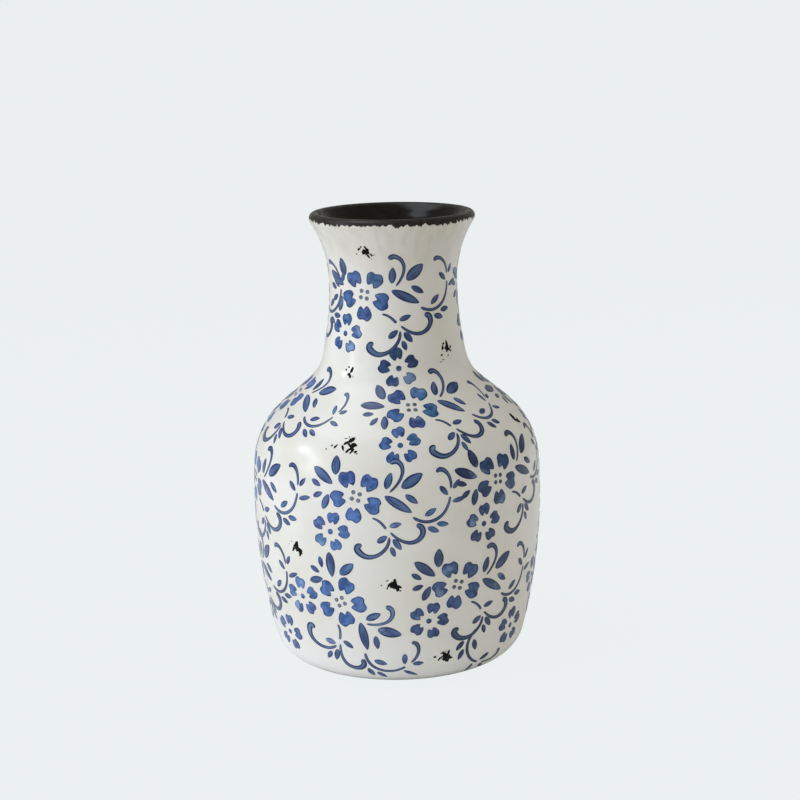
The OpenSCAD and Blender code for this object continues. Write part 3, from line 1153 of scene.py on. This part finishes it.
def make_camera(scene, stage):
    """The photograph's view of the vase."""
    target = Vector((0.0, 0.0, CAD_BOX[1].z / 2))
    back = Vector((0.0, -math.cos(stage.elevation), math.sin(stage.elevation)))
    bpy.ops.object.camera_add()
    camera = bpy.context.object
    camera.name = "camera"
    camera.matrix_world = (Matrix.Translation(target + back * stage.distance)
                           @ Matrix.Rotation(math.pi / 2 - stage.elevation, 4, "X")
                           @ Matrix.Rotation(stage.roll, 4, "Z"))
    lens = camera.data
    lens.sensor_width = SENSOR_WIDTH
    lens.lens = SENSOR_WIDTH * stage.distance / stage.pixel / PHOTO_SIDE
    lens.shift_x = (PHOTO_SIDE / 2 - stage.centre_x) / PHOTO_SIDE
    lens.shift_y = (stage.centre_y - PHOTO_SIDE / 2) / PHOTO_SIDE
    scene.camera = camera


# Steps of the making

class VaseStep:
    """What the steps of the making share"""

    bl_options = {"REGISTER", "UNDO"}


RIM_ROW = 0.4 * MM
LINING_ROW = 1.5 * MM
RING_FADE = 15 * MM


class VASE_OT_clay_body(VaseStep, Operator):
    """Finishes the fired clay, which shows on the foot ring"""

    bl_idname = "vase.clay_body"
    bl_label = "Clay body"

    def execute(self, context):
        colours = context.scene.vase.colours
        finish = dark_finish("fired_clay", colours.clay, colours.rim_worn, scale=60.0,
                             roughness=(0.75, 0.9), gloss=0.3, relief="Clouds")
        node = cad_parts["clay_body"]
        node.data.materials.clear()
        node.data.materials.append(finish)
        return {"FINISHED"}


class VASE_OT_cream_coat(VaseStep, Operator):
    """Turns the cream coat of the outside, with its ragged upper edge"""

    bl_idname = "vase.cream_coat"
    bl_label = "Cream coat"

    def execute(self, context):
        vase = context.scene.vase
        rows = int(COAT_END / vase.wall.row_step) + 1
        outline = OUTSIDE.outline(np.linspace(0.0, COAT_END, rows))
        coat = turn_outline("cream_glaze_coat", outline, vase.wall.turns)
        ragged_edge(coat, vase.wall)
        thicken(coat, vase.wall.coat_wall)
        dress(coat, cream_finish(vase.colours))
        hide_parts("cream_coat")
        return {"FINISHED"}


class VASE_OT_rim_band(VaseStep, Operator):
    """Turns the black band over the lip, which runs on under the coat's ragged edge"""

    bl_idname = "vase.rim_band"
    bl_label = "Rim band"

    def execute(self, context):
        vase = context.scene.vase
        start = COAT_END - vase.wall.rim_skirt
        rows = int((OUTSIDE.length - start) / RIM_ROW) + 1
        outline = OUTSIDE.outline(np.linspace(start, OUTSIDE.length, rows), -vase.wall.rim_sink)
        band = turn_outline("rim_glaze_band", outline, vase.wall.turns)
        thicken(band, vase.wall.rim_wall)
        colours = vase.colours
        finish = dark_finish("rim_glaze", colours.rim, colours.rim_worn, scale=90.0,
                             roughness=(0.28, 0.45), gloss=0.32, relief="Ripple")
        dress(band, finish)
        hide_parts("rim_band")
        return {"FINISHED"}


class VASE_OT_lining(VaseStep, Operator):
    """Turns the black lining of the inside, with its throwing rings"""

    bl_idname = "vase.lining"
    bl_label = "Lining"

    def execute(self, context):
        vase = context.scene.vase
        wall = vase.wall
        marks = np.linspace(0.0, INSIDE.length, int(INSIDE.length / LINING_ROW) + 1)
        fade = np.clip((INSIDE.length - marks) / RING_FADE, 0.0, 1.0)
        rings = wall.ring_height * np.sin(math.tau * marks / wall.ring_pitch) * fade
        outline = INSIDE.outline(marks, rings)
        lining = turn_outline("lining_glaze", outline, wall.lining_turns, inside=True)
        thicken(lining, wall.coat_wall / 2)
        colours = vase.colours
        finish = dark_finish("black_lining", colours.lining, colours.rim, scale=40.0,
                             roughness=(0.16, 0.26), gloss=0.32, relief="Rings")
        dress(lining, finish)
        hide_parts("inner_glaze")
        return {"FINISHED"}


class VASE_OT_large_flowers(VaseStep, Operator):
    """Paints the petals of the large flowers"""

    bl_idname = "vase.large_flowers"
    bl_label = "Large flowers"

    def execute(self, context):
        vase = context.scene.vase
        paint = vase.paint
        petals = flower_petals(paint, (0.0, 0.0), paint.petal_ring / MM, FLOWER_TURN, 1.0)
        sheets = {"flower": flat_sheet("flower", petals)}
        petals = paint_sprigs("large_flower_petals", sheets, paint)
        finish = paint_finish("petal_blue", vase.colours, PETAL_SHADES, border=0.85, fading=0.4)
        dress(petals, finish)
        return {"FINISHED"}


class VASE_OT_small_flowers(VaseStep, Operator):
    """Paints the petals and the middle dots of the small flowers"""

    bl_idname = "vase.small_flowers"
    bl_label = "Small flowers"

    def execute(self, context):
        vase = context.scene.vase
        paint = vase.paint
        stamp = dot_stamp(paint)
        sheets = {}
        for group, centre in BUD_CENTRES.items():
            petals = flower_petals(paint, centre, paint.bud_ring / MM, BUD_TURN, paint.bud_share)
            dot = copy_stamp(stamp, *centre, 0.0, BUD_DOT_RADIUS, BUD_DOT_RADIUS)
            sheets[group] = flat_sheet(group, [*petals, dot])
        remove_pieces([stamp])
        petals = paint_sprigs("small_flower_petals", sheets, paint)
        finish = paint_finish("small_petal_blue", vase.colours, PETAL_SHADES, border=0.85, fading=0.45)
        dress(petals, finish)
        return {"FINISHED"}


class VASE_OT_flower_dots(VaseStep, Operator):
    """Paints the four grey dots in the middle of each large flower"""

    bl_idname = "vase.flower_dots"
    bl_label = "Flower dots"

    def execute(self, context):
        vase = context.scene.vase
        stamp = dot_stamp(vase.paint)
        dots = []
        for number in range(FLOWER_DOTS):
            turn = math.radians(FLOWER_DOT_TURN + 360 * number / FLOWER_DOTS)
            x, y = FLOWER_DOT_RING * math.cos(turn), FLOWER_DOT_RING * math.sin(turn)
            dots.append(copy_stamp(stamp, x, y, 0.0, FLOWER_DOT_RADIUS, FLOWER_DOT_RADIUS))
        sheets = {"flower": flat_sheet("flower_dots", dots)}
        remove_pieces([stamp])
        painted = paint_sprigs("flower_dots", sheets, vase.paint)
        finish = paint_finish("dot_blue", vase.colours, DOT_SHADES, border=0.5, fading=0.2)
        dress(painted, finish)
        return {"FINISHED"}


class VASE_OT_leaves(VaseStep, Operator):
    """Paints the leaves of the sprigs"""

    bl_idname = "vase.leaves"
    bl_label = "Leaves"

    def execute(self, context):
        vase = context.scene.vase
        stamp = leaf_stamp(vase.paint)
        sheets = {}
        for group, leaves in SPRIG_LEAVES.items():
            sheets[group] = flat_sheet(group, [
                copy_stamp(stamp, leaf.x, leaf.y, leaf.turn, leaf.length * MM, leaf.width * MM)
                for leaf in leaves])
        remove_pieces([stamp])
        painted = paint_sprigs("leaf_strokes", sheets, vase.paint)
        finish = paint_finish("leaf_blue", vase.colours, LEAF_SHADES, border=1.0, fading=0.35)
        dress(painted, finish)
        return {"FINISHED"}


class VASE_OT_tendrils(VaseStep, Operator):
    """Paints the tendrils of the sprigs"""

    bl_idname = "vase.tendrils"
    bl_label = "Tendrils"

    def execute(self, context):
        vase = context.scene.vase
        sheets = {group: flat_sheet(group, [tendril_stroke(vase.paint, tendril) for tendril in tendrils])
                  for group, tendrils in SPRIG_TENDRILS.items()}
        painted = paint_sprigs("tendril_strokes", sheets, vase.paint)
        finish = paint_finish("tendril_blue", vase.colours, TENDRIL_SHADES, border=1.0, fading=0.3)
        dress(painted, finish)
        return {"FINISHED"}


class VASE_OT_worn_spots(VaseStep, Operator):
    """Breaks ragged dark spots into the coat"""

    bl_idname = "vase.worn_spots"
    bl_label = "Worn spots"

    def execute(self, context):
        vase = context.scene.vase
        spots = []
        for number, spot in enumerate(SPOTS):
            stamp = spot_stamp(vase.paint, spot.bits, number)
            write_places(stamp, lay_round(read_places(stamp), spot, vase.paint.spot_rise))
            spots.append(stamp)
        worn = join_pieces("worn_spots", spots)
        thicken(worn, vase.paint.wall, even=False)
        colours = vase.colours
        finish = dark_finish("worn_spot", colours.lining, colours.rim, scale=200.0,
                             roughness=(0.5, 0.7), gloss=0.1, relief="Clouds")
        dress(worn, finish)
        return {"FINISHED"}


class VASE_OT_stage(VaseStep, Operator):
    """Sets up the floor with its backdrop, the lights, the world and the camera"""

    bl_idname = "vase.stage"
    bl_label = "Stage"

    def execute(self, context):
        vase = context.scene.vase
        context.scene.view_settings.view_transform = "Standard"
        make_backdrop(vase.colours)
        make_world(context.scene, vase.colours)
        for lamp in LAMPS:
            add_lamp(lamp)
        make_camera(context.scene, vase.stage)
        return {"FINISHED"}


class VASE_PT_steps(Panel):
    """Lists the steps of the making and the sizes and colours"""

    bl_label = "Painted pottery vase"
    bl_space_type = "VIEW_3D"
    bl_region_type = "UI"
    bl_category = "Vase"

    def draw(self, context):
        vase = context.scene.vase
        for step in STEPS:
            self.layout.operator(step.bl_idname)
        for settings in (vase.wall, vase.paint, vase.colours, vase.stage):
            box = self.layout.box()
            for name in settings.__annotations__:
                box.prop(settings, name)


STEPS = (VASE_OT_clay_body, VASE_OT_cream_coat, VASE_OT_rim_band, VASE_OT_lining, VASE_OT_large_flowers,
         VASE_OT_small_flowers, VASE_OT_flower_dots, VASE_OT_leaves, VASE_OT_tendrils, VASE_OT_worn_spots,
         VASE_OT_stage)
CLASSES = (VaseWall, VasePaint, VaseColours, VaseStage, VaseSettings, *STEPS, VASE_PT_steps)


def register():
    for kind in CLASSES:
        bpy.utils.register_class(kind)
    bpy.types.Scene.vase = PointerProperty(type=VaseSettings)


def unregister():
    del bpy.types.Scene.vase
    for kind in reversed(CLASSES):
        bpy.utils.unregister_class(kind)


def main():
    register()
    bpy.ops.vase.clay_body()
    bpy.ops.vase.cream_coat()
    bpy.ops.vase.rim_band()
    bpy.ops.vase.lining()
    bpy.ops.vase.large_flowers()
    bpy.ops.vase.small_flowers()
    bpy.ops.vase.flower_dots()
    bpy.ops.vase.leaves()
    bpy.ops.vase.tendrils()
    bpy.ops.vase.worn_spots()
    bpy.ops.vase.stage()
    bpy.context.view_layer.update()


if __name__ == "__main__":
    main()
